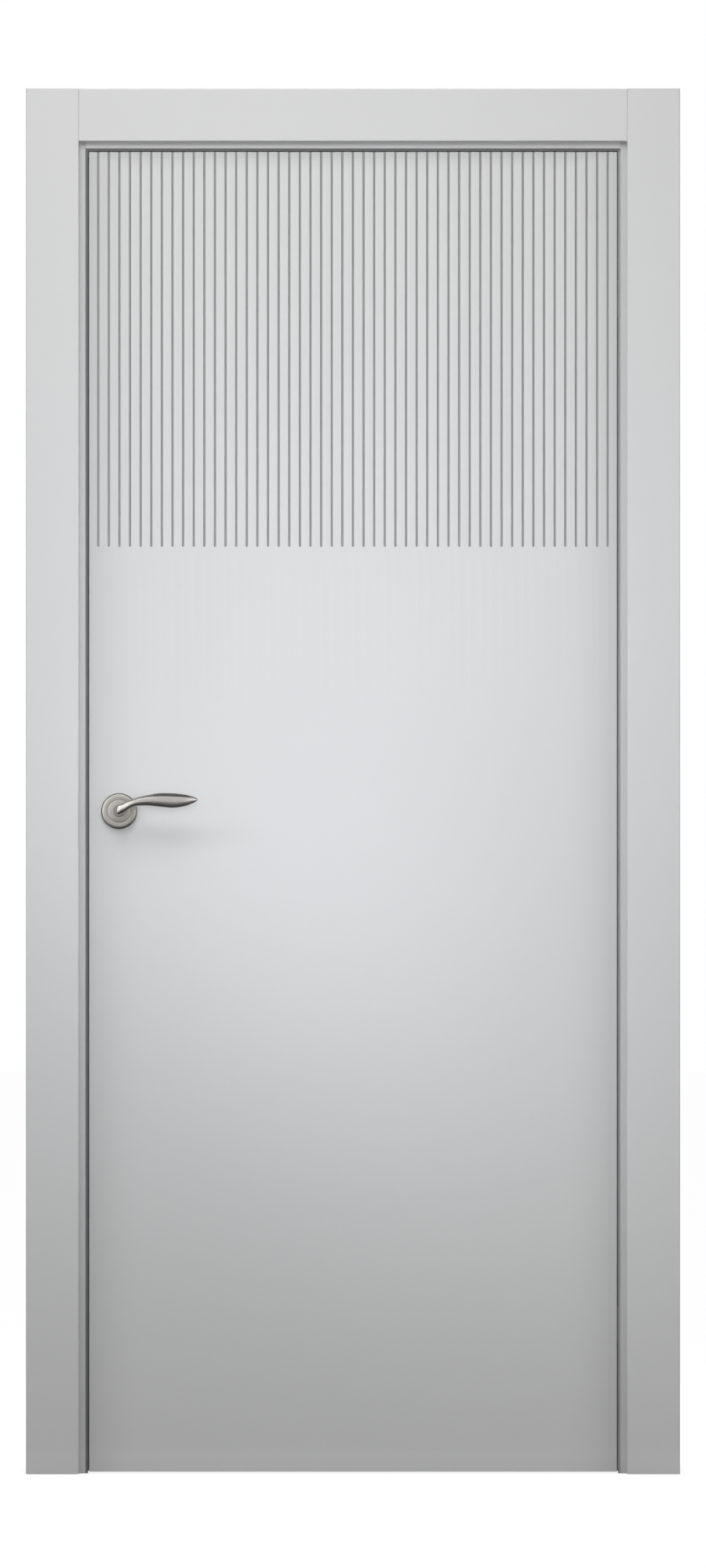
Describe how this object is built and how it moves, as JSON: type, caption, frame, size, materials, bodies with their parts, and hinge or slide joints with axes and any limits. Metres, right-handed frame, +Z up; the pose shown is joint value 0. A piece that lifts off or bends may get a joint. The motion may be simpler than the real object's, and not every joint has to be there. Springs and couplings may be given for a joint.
{
  "type": "interior door",
  "caption": "White interior door in its frame: flush leaf with a field of fine upright grooves, plain flat casings, concealed hinges and a leaf-shaped lever handle.",
  "frame": {"origin": "on the hinge jamb's wall face, at floor level, in the plane of the closed leaf's front face", "axes": "+X out of the hinge jamb into the wall beside it, +Z up, -Y to the side the leaf opens to"},
  "size_m": [0.99, 0.1683, 2.098],
  "materials": {
    "white_enamel": "white satin enamel on fibreboard and solid wood",
    "grey_rubber": "matt grey seal",
    "satin_nickel": "satin nickel",
    "bright_nickel": "bright nickel",
    "satin_zinc": "satin die-cast zinc",
    "core_cardboard": "plain honeycomb"
  },
  "bodies": {
    "frame": {"jamb_hinge_side": "white_enamel", "jamb_latch_side": "white_enamel", "head_jamb": "white_enamel", "stop_hinge_side": "white_enamel", "stop_latch_side": "white_enamel", "stop_head": "white_enamel", "seal_hinge_side": "grey_rubber", "seal_latch_side": "grey_rubber", "seal_head": "grey_rubber", "gap_seal_hinge_side": "grey_rubber", "gap_seal_latch_side": "grey_rubber", "gap_seal_head": "grey_rubber", "casing_front_hinge_side": "white_enamel", "casing_front_latch_side": "white_enamel", "casing_front_head": "white_enamel", "casing_rear_hinge_side": "white_enamel", "casing_rear_latch_side": "white_enamel", "casing_rear_head": "white_enamel", "strike_plate": "satin_nickel", "hinge_upper_frame_cup": "satin_zinc", "hinge_lower_frame_cup": "satin_zinc"},
    "leaf": {"leaf_front_skin": "white_enamel", "leaf_back_skin": "white_enamel", "leaf_stile_hinge_side": "white_enamel", "leaf_stile_latch_side": "white_enamel", "leaf_top_rail": "white_enamel", "leaf_bottom_rail": "white_enamel", "leaf_core": "core_cardboard", "latch_case": "satin_nickel", "latch_bolt": "bright_nickel", "rosette_front": "satin_nickel", "rosette_back": "satin_nickel", "hinge_upper_leaf_cup": "satin_zinc", "hinge_lower_leaf_cup": "satin_zinc"},
    "hinge_arms": {"hinge_upper_arm": "satin_zinc", "hinge_lower_arm": "satin_zinc"},
    "handle": {"lever_front": "satin_nickel", "lever_back": "satin_nickel", "spindle": "satin_zinc"}
  },
  "joints": [
    {"name": "leaf_swing", "type": "hinge", "parent": "frame", "child": "leaf", "pos_m": [-0.0425, -0.0025, 0], "axis": [0, 0, 1], "range_deg": [0, 110]},
    {"name": "hinge_arm_turn", "type": "hinge", "parent": "frame", "child": "hinge_arms", "pos_m": [-0.0425, -0.0025, 0], "axis": [0, 0, 1], "range_deg": [0, 55]},
    {"name": "lever_turn", "type": "hinge", "parent": "leaf", "child": "handle", "pos_m": [-0.799, 0.02, 1.004], "axis": [0, 1, 0], "range_deg": [0, 40], "stiffness_Nm_per_rad": 1.2, "springref_deg": -34.38}
  ],
  "couplings": [
    {"joint": "hinge_arm_turn", "follows": "leaf_swing", "ratio": 0.5}
  ]
}
